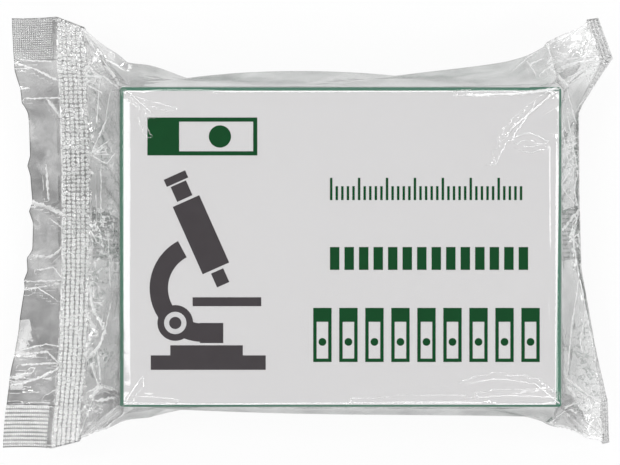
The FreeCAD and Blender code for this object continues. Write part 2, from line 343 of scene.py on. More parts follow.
def sleeve_section(s, bulge=3.0):
    """(y, z) of each column where the tube goes round the carton."""
    side = np.where(s <= girth / 2, 1.0, -1.0)
    t = from_middle(s)
    half, high, low = lid_high[1] + 0.15, lid_high[2] + off_card, off_floor
    middle = seal_shift / 2
    top, down = half - side * middle, (high - low) * 1.035
    fall = np.clip((t - top) / down, 0, 1)
    under = np.clip((t - top - down) / (girth / 2 - top - down), 0, 1)
    y = np.where(t <= top, middle + side * t, side * (half + 4 * bulge * fall * (1 - fall)))
    y = np.where(t > top + down, side * half * (1 - under) + middle * under, y)
    return y, high - (high - low) * fall


def first_shape(rows, s, zone):
    """The tube before it is folded: flat at the seals, round the carton between them, and straight from one
    to the other."""
    shape = np.zeros((len(rows), len(s), 3))
    flat_y, layer = flat_section(s)
    box_y, box_z = sleeve_section(s)
    end = lid_high[0] + 0.3
    left, right = zone["left closure"], zone["right closure"]
    for i, row in enumerate(rows):
        if i <= left[0]:
            x, f = left_seal - (rows[left[0]] - row), 0.0
        elif i < left[1]:
            f = (row - rows[left[0]]) / (rows[left[1]] - rows[left[0]])
            x = left_seal + (-end - left_seal) * f
        elif i <= right[0]:
            x, f = -end + (row - rows[left[1]]), 1.0
        elif i < right[1]:
            f = 1 - (row - rows[right[0]]) / (rows[right[1]] - rows[right[0]])
            x = right_seal + (end - right_seal) * f
        else:
            x, f = right_seal + (row - rows[right[1]]), 0.0
        shape[i, :, 0] = x
        shape[i, :, 1] = flat_y * (1 - f) + box_y * f
        shape[i, :, 2] = (seal_level + 0.06 * layer) * (1 - f) + box_z * f
    return shape


def refine(shape):
    """The same surface with twice the rows and columns."""
    count, across, _ = shape.shape
    tall = np.zeros((2 * count - 1, across, 3))
    tall[0::2] = shape
    tall[1::2] = (shape[:-1] + shape[1:]) / 2
    tall[3:-3:2] = (9 * (shape[1:-2] + shape[2:-1]) - (shape[:-3] + shape[3:])) / 16
    full = np.zeros((2 * count - 1, 2 * across, 3))
    full[:, 0::2] = tall
    full[:, 1::2] = (9 * (tall + np.roll(tall, -1, 1)) - (np.roll(tall, 1, 1) + np.roll(tall, -2, 1))) / 16
    return full


class Film:
    """The tube as a grid of points: rows along it, columns round it."""

    def __init__(self, step, shape=None):
        self.rows, self.s, self.zone = flat_grid(step)
        if shape is None:
            shape = first_shape(self.rows, self.s, self.zone)
        self.points = shape.astype(np.float32)
        self.speed = np.zeros_like(self.points)
        self.flat_y, self.layer = flat_section(self.s)
        # The columns that lie on each other where the tube is pressed flat are one pile.
        places, self.pile = np.unique(np.round(self.flat_y, 3), return_inverse=True)
        self.average = (self.pile[None, :] == np.arange(len(places))[:, None]).astype(np.float32)
        self.average /= self.average.sum(1, keepdims=True)
        width = girth / len(self.s)
        # Along the gussets' outer folds the film is gathered in small wrinkles, which take up its spare
        # length.
        gathered, fold_wide, fade = 26, 7.0, 6
        fold = np.exp(-(((from_middle(self.s) - seal_half) / fold_wide) ** 2))
        middle = (self.rows[1:] + self.rows[:-1]) / 2
        left_end = self.rows[self.zone["left band"][1]]
        right_end = self.rows[self.zone["right band"][0]]
        left = smooth((left_end + gathered - middle) / fade) * (middle > left_end)
        right = smooth((middle - right_end + gathered) / fade) * (middle < right_end)
        at_right = np.where(self.s < girth / 2, 0.22, 0.14)
        less = fold * (0.16 * left[:, None] + at_right * right[:, None])
        self.long = (np.diff(self.rows)[:, None] * (1 - less)).astype(np.float32)
        # The spare girth is taken out of the rest lengths under the carton.
        under = smooth((34 - np.abs(self.s + width / 2 - girth / 2)) / 8.0)
        start = self.rows[self.zone["left closure"][1]]
        stop = self.rows[self.zone["right closure"][0]]
        sleeve = smooth((self.rows - start + 12) / 14) * smooth((stop + 12 - self.rows) / 14)
        self.wide = (width * (1 - pleat / pleat_wide * under[None, :] * sleeve[:, None])).astype(np.float32)
        self.held = np.zeros(self.points.shape[:2], bool)
        self.free = np.ones(self.points.shape[:2], np.float32)

    def pull(self, a, b, rest, stiff, push):
        """Moves the points at a and at b to be rest apart: by the share stiff where they are too far apart,
        and by the share push where they are too near."""
        here, there, free_a, free_b = self.points[a], self.points[b], self.free[a], self.free[b]
        line = there - here
        length = np.sqrt(np.einsum("...i,...i->...", line, line)) + 1e-9
        error = (length - rest) / length
        share = np.where(error > 0, stiff * error, push * error) / (free_a + free_b + 1e-9)
        here += line * (share * free_a)[..., None]
        there -= line * (share * free_b)[..., None]

    def pairs_of_rows(self):
        """The even rows with the rows after them, and then the odd ones with theirs."""
        for start in (0, 1):
            stop = start + (len(self.points) - start) // 2 * 2
            yield slice(start, stop, 2), slice(start + 1, stop, 2)

    def hold_lengths(self, push):
        for row, after in self.pairs_of_rows():
            self.pull(row, after, self.long[row], 1.0, push)
        for col, after in ((np.s_[0::2], np.s_[1::2]), (np.s_[1:-1:2], np.s_[2::2]), (-1, 0)):
            self.pull(np.s_[:, col], np.s_[:, after], self.wide[:, col], 1.0, push)

    def hold_square(self, stiff, push):
        most, rest_of = slice(None, -1), slice(1, None)
        for row, after in self.pairs_of_rows():
            mean = 0.5 * (self.wide[row] + self.wide[after])
            across = np.sqrt(self.long[row] ** 2 + mean**2)
            for col, beside in ((most, rest_of), (-1, 0), (rest_of, most), (0, -1)):
                part = -1 if isinstance(col, int) else most
                self.pull((row, col), (after, beside), across[:, part], stiff, push)

    def resist_bending(self, stiff):
        long = self.long[1:] + self.long[:-1]
        for o in range(4):
            self.pull(np.s_[o:-2:4], np.s_[o + 2 :: 4], long[o::4], stiff, stiff)
        wide = self.wide + np.roll(self.wide, -1, 1)
        for o in (0, 1):
            self.pull(np.s_[:, o::4], np.s_[:, o + 2 :: 4], wide[:, o::4], stiff, stiff)
            self.pull(np.s_[:, o + 2 : -2 : 4], np.s_[:, o + 4 :: 4], wide[:, o + 2 : -2 : 4], stiff, stiff)

    def keep_off_carton(self):
        p = self.points
        middle = np.array([0, 0, (tray_low[2] + lid_high[2]) / 2], np.float32)
        half = np.array([lid_high[0], lid_high[1], (lid_high[2] - tray_low[2]) / 2], np.float32)
        away = p - middle
        past = np.abs(away) - (half - card_edge)
        near = (past < card_edge + off_card).all(-1) & ~self.held
        if near.any():
            past, sign = past[near], np.sign(away[near])
            out = np.maximum(past, 0)
            reach = np.sqrt((out**2).sum(1))
            inside = reach < 1e-6
            depth = off_card + card_edge - np.where(inside, past.max(1), reach)
            flat = (np.arange(3)[None, :] == past.argmax(1)[:, None]).astype(np.float32)
            normal = np.where(inside[:, None], flat, out / (reach[:, None] + 1e-9))
            p[near] += normal * sign * np.maximum(depth, 0)[:, None]
        np.maximum(p[..., 2], off_floor, out=p[..., 2])

    def normals(self):
        p = self.points
        n = np.cross(np.roll(p, -1, 1) - np.roll(p, 1, 1), np.gradient(p, axis=0))
        return n / (np.linalg.norm(n, axis=2, keepdims=True) + 1e-9)

    def hold_seals(self, folded):
        """Puts the held points in place. folded goes from 0, both seals flat, to 1, the right one folded
        down."""
        p, rows, y = self.points, self.rows, self.flat_y
        self.held[:] = False
        first, last = self.zone["left band"]
        out = (rows[last] - rows[first : last + 1])[:, None]
        inner = folded * (1 - out / out[0])
        p[first : last + 1, :, 0] = left_seal + along(band_line, y)[None] - out
        inwards = 2.0 * smooth((y - 22) / 20.6) - 1.3 * smooth((-17 - y) / 20.4)
        p[first : last + 1, :, 1] = y - inner * inwards
        p[first : last + 1, :, 2] = seal_level + (0.6 + 0.4 * inner) * folded * along(band_line, y, 2)
        self.held[first : last + 1] = True
        # The fin's cut edge is drawn towards its droop.
        droop = np.radians(along(fin_droop, y)) * folded
        reach = rows[first] * 0.995
        out, down = reach * np.cos(droop), reach * np.sin(droop)
        p[0] += 0.25 * (np.stack([p[first, :, 0] - out, y, p[first, :, 2] - down], 1) - p[0])
        # The right band turns down about its inner line.
        first, last = self.zone["right band"]
        flat = np.stack([np.full(len(y), right_seal), y, np.full(len(y), seal_level)], 1)
        line = flat + folded * (np.stack([along(folded_line, y, k) for k in (1, 2, 3)], 1) - flat)
        lean = np.stack([along(folded_lean, y, 1), along(folded_lean, y, 2)], 1)
        hang = np.concatenate([lean, -np.sqrt(1 - (lean**2).sum(1, keepdims=True))], 1)
        turn = folded * math.pi / 2
        hang = math.sin(turn) * hang + math.cos(turn) * np.array([1.0, 0, 0])
        hang /= np.linalg.norm(hang, axis=1, keepdims=True)
        below = 0.3 * folded * hang + (1 - folded) * hang + 0.7 * folded * np.array([0, 0, -1.0])
        for i in range(first, len(rows)):
            p[i] = line + min(rows[i] - rows[first], rows[last] - rows[first]) * hang
            p[i] += max(rows[i] - rows[last], 0) * below
        self.held[first:] = True
        self.free = np.where(self.held, 0.0, 1.0).astype(np.float32)

    def weld(self, first, last):
        """Draws the layers of rows first to last into one, and gives that one, in order of y."""
        one = np.einsum("kc,rcx->rkx", self.average, self.points[first:last])
        self.points[first:last] = one[:, self.pile]
        return one

    def calm(self, times):
        """Evens out the smallest ripples between the seals."""
        first, last = self.zone["left band"][1], self.zone["right band"][0]
        for _ in range(times):
            p = self.points[first : last + 1].copy()
            p[1:-1] = (p[:-2] + 2 * p[1:-1] + p[2:]) / 4
            p = (np.roll(p, 1, 1) + 2 * p + np.roll(p, -1, 1)) / 4
            self.points[first + 1 : last] = p[1:-1]
            self.keep_off_carton()

    def part_layers(self, gap=0.05, calming=3):
        """Sets the welded layers a little apart, as the film's thickness does, once the fin's smallest
        ripples are evened out."""
        fin = self.zone["left band"][0]
        seals = (0, self.zone["left band"][1] + 1), (self.zone["right band"][0], len(self.rows))
        for first, last in seals:
            one = self.weld(first, last)
            if first == 0:
                for _ in range(calming):
                    one[:fin, 1:-1] = (one[:fin, :-2] + 2 * one[:fin, 1:-1] + one[:fin, 2:]) / 4
                    one[1:fin] = (one[: fin - 1] + 2 * one[1:fin] + one[2 : fin + 1]) / 4
            side = np.cross(np.gradient(one, axis=0), np.gradient(one, axis=1))
            side /= np.linalg.norm(side, axis=2, keepdims=True) + 1e-9
            one += side * self.relief(first, last)[..., None]
            apart = side[:, self.pile] * (self.layer * gap)[None, :, None]
            self.points[first:last] = one[:, self.pile] + apart

    def relief(self, first, last):
        """How far the welded layers of these rows stand out of their plane: the band's crimped ridges, and
        the folds across the fin."""
        y = np.sort(np.unique(np.round(self.flat_y, 3)))
        rows = self.rows[first:last]
        band = self.zone["left band" if first == 0 else "right band"]
        start, stop = self.rows[band[0]], self.rows[band[1]]
        within = np.clip((rows - start) / (stop - start), 0, 1)
        wave = np.sin(math.pi * crimp_ridges * within) * crimp_depth / 2
        height = np.repeat(wave[:, None], len(y), 1)
        if first == 0:
            height += smooth((start - rows) / 3.0)[:, None] * along(fin_folds, y)[None, :]
        return height

    def crease(self):
        """Raises the creases on the upper side of the film."""
        p = self.points
        normal = self.normals()
        normal *= np.sign(normal[..., 2:])
        first, last = self.zone["left band"][1] + 1, self.zone["right band"][0]
        upper = np.zeros(p.shape[:2], bool)
        upper[first:last, from_middle(self.s) < seal_half] = True
        rise = np.zeros(p.shape[:2])
        for (x0, y0), (x1, y1), width, high, high_after in creases:
            run = np.array([x1 - x0, y1 - y0])
            dx, dy = p[..., 0] - x0, p[..., 1] - y0
            t = np.clip((dx * run[0] + dy * run[1]) / (run @ run), 0, 1)
            away = np.hypot(dx - t * run[0], dy - t * run[1])
            rise = np.maximum(rise, (high + (high_after - high) * t) * np.clip(1 - away / width, 0, 1))
        off_top = (np.abs(p[..., :2]) > lid_high[:2] - 0.5).any(-1)
        place, _, _, white = line_places(p, fold_lines)
        rise = np.maximum(rise, off_top * fold_rise * white * np.clip(1 - np.abs(place) / 0.8, 0, 1))
        p += normal * (rise * upper)[..., None]

    def settle(self, steps, fold=None):
        """Moves the film until it rests. Within the steps of fold, the right seal is folded down."""
        pressure, weight_over_top, weight_of_fin = 0.0015, 0.004, 0.002
        kept_speed, top_speed = 0.93, 0.6
        lengthwise, (square_stiff, square_push), bending = 0.6, (0.35, 0.15), 0.1
        from_top = from_middle(self.s)
        top, side = from_top < unsliding, (from_top > 29) & (from_top < 56)
        outward = np.where(self.s < girth / 2, 1.0, -1.0)
        # The folds that run from the sides to the ears are drawn tight.
        tight = np.where(outward > 0, 0.003, -0.0008) * (np.abs(from_top - seal_half) < 1.6)
        bow = 0.0014 * np.where(outward > 0, 1.1, -0.9) * side
        stuck = (from_top < unsliding) | (from_top > girth / 2 - unsliding)
        above = seal_shift / 2 + outward * from_top
        below = outward * (girth / 2 - from_top) * (1 - pleat / pleat_wide) - 1.1
        stuck_y = np.where(top, above, below)[stuck]
        fin, hem = self.zone["left band"][0], self.zone["right band"][0]
        start, stop = self.zone["left closure"][1], self.zone["right closure"][0]
        sleeve = slice(start, stop + 1)
        right = (self.rows > self.rows[stop] - 8) & (self.rows < self.rows[hem])
        folded = 1.0
        for step in range(steps):
            if fold:
                folded = float(smooth((step - fold[0]) / (fold[1] - fold[0])))
            before = self.points.copy()
            self.points += self.speed
            force = self.normals() * pressure
            force[sleeve][:, top] = (0, 0, -weight_over_top)
            force[sleeve, :, 1] += bow
            force[right, :, 1] += tight
            force[:fin] = (0, 0, -weight_of_fin)
            self.points += force * self.free[..., None]
            self.points[sleeve, stuck, 1] += 0.5 * (stuck_y - self.points[sleeve, stuck, 1])
            self.hold_seals(folded)
            self.hold_lengths(lengthwise)
            self.hold_square(square_stiff, square_push)
            self.hold_lengths(lengthwise)
            self.resist_bending(bending)
            self.keep_off_carton()
            self.weld(hem, len(self.rows))
            self.weld(0, fin)
            self.hold_lengths(lengthwise)
            self.hold_seals(folded)
            self.keep_off_carton()
            self.speed = (self.points - before) * kept_speed
            fast = np.sqrt((self.speed**2).sum(2))
            self.speed[fast > top_speed] *= (top_speed / fast[fast > top_speed])[:, None]


def fold_film(fine):
    film = Film(4)
    film.points += np.random.default_rng(3).normal(0, 0.05, film.points.shape).astype(np.float32)
    film.settle(600, fold=(60, 350))
    film = Film(2, refine(film.points))
    film.settle(400)
    if fine:
        film = Film(1, refine(film.points))
        film.settle(200)
    film.calm(5)
    film.part_layers()
    film.crease()
    return film


def line_places(points, lines, reach=1.1):
    """How far each point is, seen from above, from the nearest of these lines, negative on its one side;
    its weight, which fades away from the line; and the line's width and whiteness."""
    place = np.full(points.shape[:2], reach)
    side, width, white = np.ones_like(place), np.ones_like(place), np.zeros_like(place)
    for stations, wide, strong in lines:
        for (x0, y0), (x1, y1) in zip(stations, stations[1:]):
            run = np.array([x1 - x0, y1 - y0])
            dx, dy = points[..., 0] - x0, points[..., 1] - y0
            t = (dx * run[0] + dy * run[1]) / (run @ run)
            c = np.clip(t, 0, 1)
            away = np.hypot(dx - c * run[0], dy - c * run[1])
            nearer = away < place
            place = np.where(nearer, away, place)
            side = np.where(nearer, np.sign(run[0] * dy - run[1] * dx), side)
            width = np.where(nearer, wide, width)
            white = np.where(nearer, strong, white)
    return place * side, np.clip(1.2 - place / reach, 0, 1), width, white


def creasing(points):
    """How sharply the surface turns at each point, in radians for each millimetre."""
    along_it = np.gradient(points, axis=0)
    round_it = (np.roll(points, -1, 1) - np.roll(points, 1, 1)) / 2
    normal = np.cross(round_it, along_it)
    normal /= np.linalg.norm(normal, axis=2, keepdims=True) + 1e-9
    turn = np.zeros(points.shape[:2])
    for axis in (0, 1):
        after = np.roll(normal, -1, axis)
        length = np.linalg.norm(np.roll(points, -1, axis) - points, axis=2) + 0.05
        angle = np.arccos(np.clip((normal * after).sum(2), -1, 1)) / length
        if axis == 0:
            angle[-1] = 0
        turn = np.maximum(turn, (angle + np.roll(angle, 1, axis)) / 2)
    return turn


def grid_faces(rows, columns):
    """The faces of a grid that is closed round its columns."""
    index = np.arange(rows * columns).reshape(rows, columns)
    after = np.roll(index, -1, 1)
    return np.stack([index[:-1], after[:-1], after[1:], index[1:]], 2).reshape(-1, 4)


def mesh_object(name, points, faces, material, uv=None, smooth_shaded=True):
    mesh = bpy.data.meshes.new(name)
    mesh.from_pydata([tuple(p) for p in points], [], [tuple(f) for f in faces])
    mesh.materials.append(material)
    mesh.polygons.foreach_set("use_smooth", [smooth_shaded] * len(mesh.polygons))
    if uv is not None:
        mesh.uv_layers.new(name="Flat").data.foreach_set("uv", uv.astype(np.float32).ravel())
    piece = bpy.data.objects.new(name, mesh)
    bpy.context.collection.objects.link(piece)
    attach(piece, "root")
    return piece


# ------------ materials


def operator_for(operation):
    """What a Value does where it stands to the left and to the right of an operator."""
    return (lambda value, other: value.shader.math(operation, value, other),
            lambda value, other: value.shader.math(operation, other, value))


class Value:
    """What a node gives. Sums and products of values make the nodes for them."""

    __array_ufunc__ = None
    __add__, __radd__ = operator_for("ADD")
    __sub__, __rsub__ = operator_for("SUBTRACT")
    __mul__, __rmul__ = operator_for("MULTIPLY")
    __truediv__, __rtruediv__ = operator_for("DIVIDE")
    __mod__, __rmod__ = operator_for("MODULO")
    __pow__, __rpow__ = operator_for("POWER")

    def __init__(self, shader, socket):
        self.shader, self.socket = shader, socket

    def __abs__(self):
        return self.shader.math("ABSOLUTE", self)


class Shader:
    """The nodes of a material or a world, with short names for those that this script uses."""

    def __init__(self, owner, output="OutputMaterial"):
        owner.use_nodes = True
        self.owner, self.tree = owner, owner.node_tree
        self.tree.nodes.clear()
        self.output = self.tree.nodes.new("ShaderNode" + output)

    def put(self, socket, value):
        if isinstance(value, Value):
            self.tree.links.new(value.socket, socket)
        elif value is not None:
            socket.default_value = value

    def node(self, kind, outputs=0, inputs=(), **settings):
        """A new node's output. inputs maps its sockets, by name or number, to numbers, colours or Values."""
        node = self.tree.nodes.new("ShaderNode" + kind)
        for name, value in settings.items():
            setattr(node, name, value)
        for name, value in dict(inputs).items():
            self.put(node.inputs[name], value)
        return Value(self, node.outputs[outputs])

    def math(self, operation, a, b=None, clamp=False):
        return self.node("Math", 0, {0: a, 1: b}, operation=operation, use_clamp=clamp)

    def most(self, a, b):
        return self.math("MAXIMUM", a, b)

    def least(self, a, b):
        return self.math("MINIMUM", a, b)

    def vector(self, operation, a, b=None, **settings):
        """A sum, difference or other vector that two vectors, or one and a number named in settings, make."""
        return self.node("VectorMath", 0, {0: a, 1: b, **settings}, operation=operation)

    def pair(self, x, y):
        return self.node("CombineXYZ", 0, {0: x, 1: y})

    def wander(self, place, scale, detail):
        """A vector that drifts about nothing, for shifting a pattern."""
        drift = self.node("TexNoise", 1, {"Vector": place, "Scale": scale, "Detail": detail})
        return self.vector("SUBTRACT", drift, (0.5, 0.5, 0.5))

    def ribs(self, value, pitch):
        return abs(self.math("SINE", value * (math.pi / pitch)))

    def cell_edges(self, place, scale, dimensions="3D"):
        """How far the place is from the edge of its cell, for cells of random shape."""
        return self.node("TexVoronoi", 0, {"Vector": place, "Scale": scale, "Randomness": 1.0},
                         feature="DISTANCE_TO_EDGE", voronoi_dimensions=dimensions)

    def ray(self, kind):
        """1 for the rays of this kind, and 0 for others."""
        return self.node("LightPath", f"Is {kind} Ray")

    def ramp(self, value, start, stop, low=0.0, high=1.0):
        """low at start, high at stop, and smooth between them."""
        limits = {"From Min": start, "From Max": stop, "To Min": low, "To Max": high}
        return self.node("MapRange", 0, {"Value": value, **limits}, interpolation_type="SMOOTHSTEP")

    def within(self, value, low, high, soft):
        return self.ramp(value, low - soft, low + soft) * self.ramp(value, high + soft, high - soft)

    def noise(self, place, scale, detail=2.0, roughness=0.5, dimensions="3D"):
        looks = {"Vector": place, "Scale": scale, "Detail": detail, "Roughness": roughness}
        return self.node("TexNoise", 0, looks, noise_dimensions=dimensions)

    def mix_colour(self, share, a, b):
        node = self.tree.nodes.new("ShaderNodeMix")
        node.data_type = "RGBA"
        self.put(node.inputs[0], share)
        self.put(node.inputs[6], a)
        self.put(node.inputs[7], b)
        return Value(self, node.outputs[2])

    def place(self):
        """Where the surface is, in millimetres."""
        return self.vector("SCALE", self.node("TexCoord", 3), Scale=1 / mm)

    def split(self, vector):
        node = self.tree.nodes.new("ShaderNodeSeparateXYZ")
        self.put(node.inputs[0], vector)
        return [Value(self, part) for part in node.outputs]

    def bump(self, height, depth, normal=None):
        """height is from 0 to 1, and stands depth millimetres high."""
        looks = {"Height": height, "Distance": depth * mm, "Strength": 1.0, "Normal": normal}
        return self.node("Bump", 0, looks)

    def finish(self, surface):
        self.put(self.output.inputs["Surface"], surface)
        return self.owner


def material_shader(name):
    return Shader(bpy.data.materials.new(name))


def shade_of(colour, share=1.0):
    """This colour, darker or lighter, as a node takes it."""
    return (*(min(1, part * share) for part in colour), 1)


flat_unit = 200.0  # the film's flat pattern is stored in units of this many millimetres


def film_material():
    """Clear film: what is behind it shows, greyed by a tint that is painted shade, and it mirrors the lamps
    as two surfaces do. Its creases and the beads of its crimping are white, partly as the film's own
    whitening and partly as painted highlights."""
    m = material_shader("clear_film_folded")
    row, col, _ = m.split(m.vector("SCALE", m.node("UVMap", 0, uv_map="Flat"), Scale=flat_unit))
    place = m.place()
    y = m.split(place)[1]
    # Where the film is, on its flat pattern: at the bands, in the gussets, over the top, beside the bands.
    fin = zones[0][1]
    band_wide = zones[1][1]
    left_end = fin + band_wide
    end = sum(zone[1] for zone in zones[:-2])
    right_end = end + band_wide
    band = m.most(m.within(row, fin, left_end, 0.1), m.within(row, end, right_end, 0.1))
    from_top = abs(col - girth / 2)
    tucked = m.within(from_top, seal_half - gusset + 0.3, seal_half + 3 * gusset - 0.3, 0.15)
    corner = tucked * m.most(m.ramp(row, fin - 0.9, fin - 1.3), m.ramp(row, right_end + 0.3, right_end + 0.6))
    layered = tucked * m.most(m.ramp(row, left_end + 12, left_end + 2), m.ramp(row, end - 12, end - 2))
    start, stop = left_end + zones[2][1], end - zones[6][1]
    lengthwise = m.ramp(row, start - 0.5, start + 1.5) * m.ramp(row, stop + 0.5, stop - 1.5)
    over_top = m.ramp(from_top, 33.0, 29.0) * lengthwise
    rest = 1.0 - over_top
    near_right = m.ramp(row, end - 13, end)
    near = m.most(m.ramp(row, left_end + 13, left_end), near_right) * (1.0 - m.ramp(row, fin, fin - 0.5))
    loose = m.ramp(row, fin, fin - 0.3)
    grain = m.noise(place, 1.3, 3.0, 0.6)
    patch = m.noise(place, 0.13, 2.0, 0.5)

    # The crimped band: columns of beads, with painted shade in the dark lines between the columns towards the
    # front.
    wander = m.wander(place, 0.35, 2.0)
    shift_a, shift_b, _ = m.split(wander)
    jitter_a, jitter_b, _ = m.split(m.wander(place, 1.1, 1.0))
    pitch = band_wide / crimp_ridges
    from_band = (row - fin + m.ramp(row, 60, 61, 0.0, (fin - end) % pitch)) % 100.0
    across = (from_band + (shift_a * 0.45 + jitter_a * 0.35)) / pitch
    down = (y + (shift_b * 0.9 + jitter_b * 0.6)) / 0.78
    centre = m.pair(m.math("FRACT", across) - 0.5, m.math("FRACT", down) - 0.5)
    which = m.pair(m.math("FLOOR", across), m.math("FLOOR", down))
    chance = m.node("TexWhiteNoise", 0, {"Vector": which}, noise_dimensions="2D")
    from_centre = m.node("VectorMath", 1, {0: centre}, operation="LENGTH")
    round_it = from_centre + (m.noise(place, 2.2, 2.0, 0.6) - 0.5) * 0.45
    front = m.ramp(y, 14, -12)
    dot = m.ramp(round_it, 0.52, 0.34) * m.ramp(round_it, 0.02, 0.24, 0.4, 1.0)
    rib = m.ramp(abs(m.split(centre)[0]), 0.47, 0.3)
    beads = dot * m.ramp(front, 0, 1, 1.0, 0.6) + rib * m.ramp(front, 0, 1, 0.0, 0.45)
    beads = beads * (chance * 0.7 + 0.6)
    # The crimping's edges are ragged.
    ragged_row = row + (m.noise(place, 0.8, 2.0) - 0.5) * 2.2
    crimped = m.most(m.within(ragged_row, fin, left_end, 0.2), m.within(ragged_row, end, right_end, 0.2))

    # The gussets' corners are embossed too: a fine cross-hatch at the back, ribs at the front.
    fine = 0.40
    hatch = m.ribs(row, fine) * m.ribs(y, fine)
    ribs = m.ribs(y, 0.72) * (m.ribs(row, fine) * 0.5 + 0.6)
    weave = hatch * m.ramp(y, 0, 4, 0.0, 1.0) + ribs * m.ramp(y, 0, 4, 1.0, 0.0)
    weave = weave + (grain - 0.5) * 0.9

    # Flat facets between creases, large and small, and long creases that run away from the bands.
    bent = m.vector("ADD", place, m.vector("SCALE", wander, Scale=1.5))
    stretched = m.pair((row + shift_a * 5.0) * 0.1, (col + shift_b * 3.0) * 0.42)
    big = m.cell_edges(bent, 0.14)
    small = m.cell_edges(bent, 0.45)
    long = m.cell_edges(stretched, 1.0, "2D")
    # Each facet is tilted its own way.
    cells = {"Vector": stretched, "Scale": 1.0, "Randomness": 1.0}
    cell = m.node("TexVoronoi", 1, cells, voronoi_dimensions="2D")
    tilt = m.vector("SCALE", m.vector("SUBTRACT", cell, (0.5, 0.5, 0.5)), Scale=near * 0.5)
    tilted = m.vector("NORMALIZE", m.vector("ADD", m.node("NewGeometry", 1), tilt))
    crumpled = near * m.ramp(patch, 0.4, 0.62)
    depth = big * 0.4 * (rest * 0.92 + 0.08) + small * 0.2 * crumpled + long * 0.12 * near
    normal = m.bump(depth * (1.0 - loose * 0.55), 1.0, tilted)
    normal = m.bump(beads * crimped + weave * corner, 0.22, normal)

    # White lines, partly the film's own stress-whitening and partly painted highlights: along the creases of
    # the folds themselves, and fine ones where the film is crumpled.
    crease = m.node("Attribute", 2, attribute_name="crease")
    whitening_and_painted_highlight = m.ramp(crease, 0.8, 1.6) * m.ramp(grain, 0.32, 0.5)
    fine_lines = m.most(m.ramp(small, 0.09, 0.03) * crumpled, m.ramp(long, 0.08, 0.03) * crumpled)
    fine_lines = fine_lines * m.ramp(grain, 0.42, 0.56)
    whitening_and_painted_highlight = m.most(whitening_and_painted_highlight, fine_lines) * (rest * 0.9 + 0.1)
    for name in ("lines_a", "lines_b"):
        place_of, width_of, white_of = m.split(m.node("Attribute", 1, attribute_name=name))
        ragged = width_of * m.ramp(grain, 0.25, 0.75, 0.35, 1.5)
        from_line = abs(place_of + (m.noise(place, 0.9, 2.0) - 0.5) * 0.35)
        line = m.math("SUBTRACT", 1.0, from_line / ragged, clamp=True)
        whitening_and_painted_highlight = m.most(whitening_and_painted_highlight, m.math("MULTIPLY", line * 2.4, white_of, clamp=True))
        normal = m.bump(line * white_of * (width_of * 0.4), 1.0, normal)
    # The crimp's beads and the corners' hatching are white on their tops: partly the crimped film's own
    # whitening, partly painted glints.
    crimp_white_and_painted_glint = m.most(crimped * m.ramp(beads, 0.22, 0.62), corner * m.ramp(weave, 0.25, 0.75))
    white_share = m.most(m.most(crimp_white_and_painted_glint * 0.9, whitening_and_painted_highlight * 0.92), rest * 0.02)
    # Painted light and shade: soft light and dark patches across the loose fin.
    painted_fin_shading = m.noise(m.pair(row * 0.07, (col + shift_a * 8.0) * 0.17), 1.0, 2.0, 0.55, "2D")
    painted_fin_light = m.ramp(painted_fin_shading, 0.56, 0.66) * m.ramp(grain, 0.3, 0.5, 0.5, 1.0)
    white_share = m.most(white_share, painted_fin_light * (loose * 0.3))

    # Painted shade: dark gaps between the crimp's beads and in the corners' hatching, and a dark line along
    # the film's cut edges.
    painted_groove_shade = m.most(band * crimped * m.ramp(beads, 0.36, 0.1), corner * m.ramp(weave, 0.45, 0.1))
    edge = m.most(m.ramp(row, 0.22, 0.1), m.ramp(row, right_end + 3.38, right_end + 3.5))
    # The tint is painted shade: off the card it greys what is behind the film as the shade under the pack
    # would, darker on the loose fin and lighter on the right closure, at the back and where layers lie on
    # each other.
    varied = (patch - 0.5) * 0.45
    tint = over_top * 0.23 + (0.71 + varied * rest)
    tint = tint - loose * m.ramp(painted_fin_shading, 0.34, 0.62, 0.2, 0.05)
    tint = tint + (near_right * 0.14 + m.ramp(y, 28.5, 31.0) * (rest * 0.08))
    tint = tint + m.most(layered, corner) * 0.13
    tint = tint + (band * 0.11 + (corner * 0.17 + near * 0.02))
    tint = tint * (1.0 - m.most(painted_groove_shade * m.ramp(tucked, 0, 1, 0.32, 0.12), edge * 0.45))
    # Both faces of the film mirror, seen from either side: more at a slant, where the tint is darkened too,
    # as painted shade along film seen edge-on.
    slant = m.node("LayerWeight", 1, {"Blend": 0.5, "Normal": normal})
    tint = tint * m.ramp(slant, 0.6, 1.0, 1.0, 0.6)
    return m.finish(film_surface(m, tint, white_share, slant, normal))


def film_surface(m, tint, white_share, slant, normal):
    """Clear and tinted, white where it is hazy or where a highlight is painted, and more of a mirror at a
    slant.
    """
    mirror = 0.08 + slant ** 4.0 * 0.75
    clear = m.node("BsdfTransparent", 0, {"Color": m.mix_colour(tint, (0, 0, 0, 1), (1, 1, 1, 1))})
    gloss = m.node("BsdfGlossy", 0, {"Color": (1, 1, 1, 1), "Roughness": 0.07, "Normal": normal})
    white_diffuse = m.node("BsdfDiffuse", 0, {"Color": (0.98, 0.98, 0.98, 1), "Normal": normal})
    glow = m.node("BsdfTranslucent", 0, {"Color": (0.98, 0.98, 0.98, 1), "Normal": normal})
    cloud = m.node("MixShader", 0, {0: 0.12, 1: white_diffuse, 2: glow})
    under = m.node("MixShader", 0, {0: white_share, 1: clear, 2: cloud})
    return m.node("MixShader", 0, {0: mirror, 1: under, 2: gloss})


def seal_material():
    """The back seal's film: two layers, ribbed along it."""
    m = material_shader("clear_film_ribbed")
    place = m.place()
    y = m.split(place)[1]
    ribs = m.ribs(y, 0.8)
    normal = m.bump(ribs, 0.06)
    slant = m.node("LayerWeight", 1, {"Blend": 0.5, "Normal": normal})
    white_share = m.ramp(ribs, 0.75, 1.0) * m.ramp(m.noise(place, 1.3, 3.0, 0.6), 0.35, 0.6, 0.1, 0.4)
    return m.finish(film_surface(m, m.ramp(slant, 0.6, 1.0, 0.88, 0.6), white_share, slant, normal))


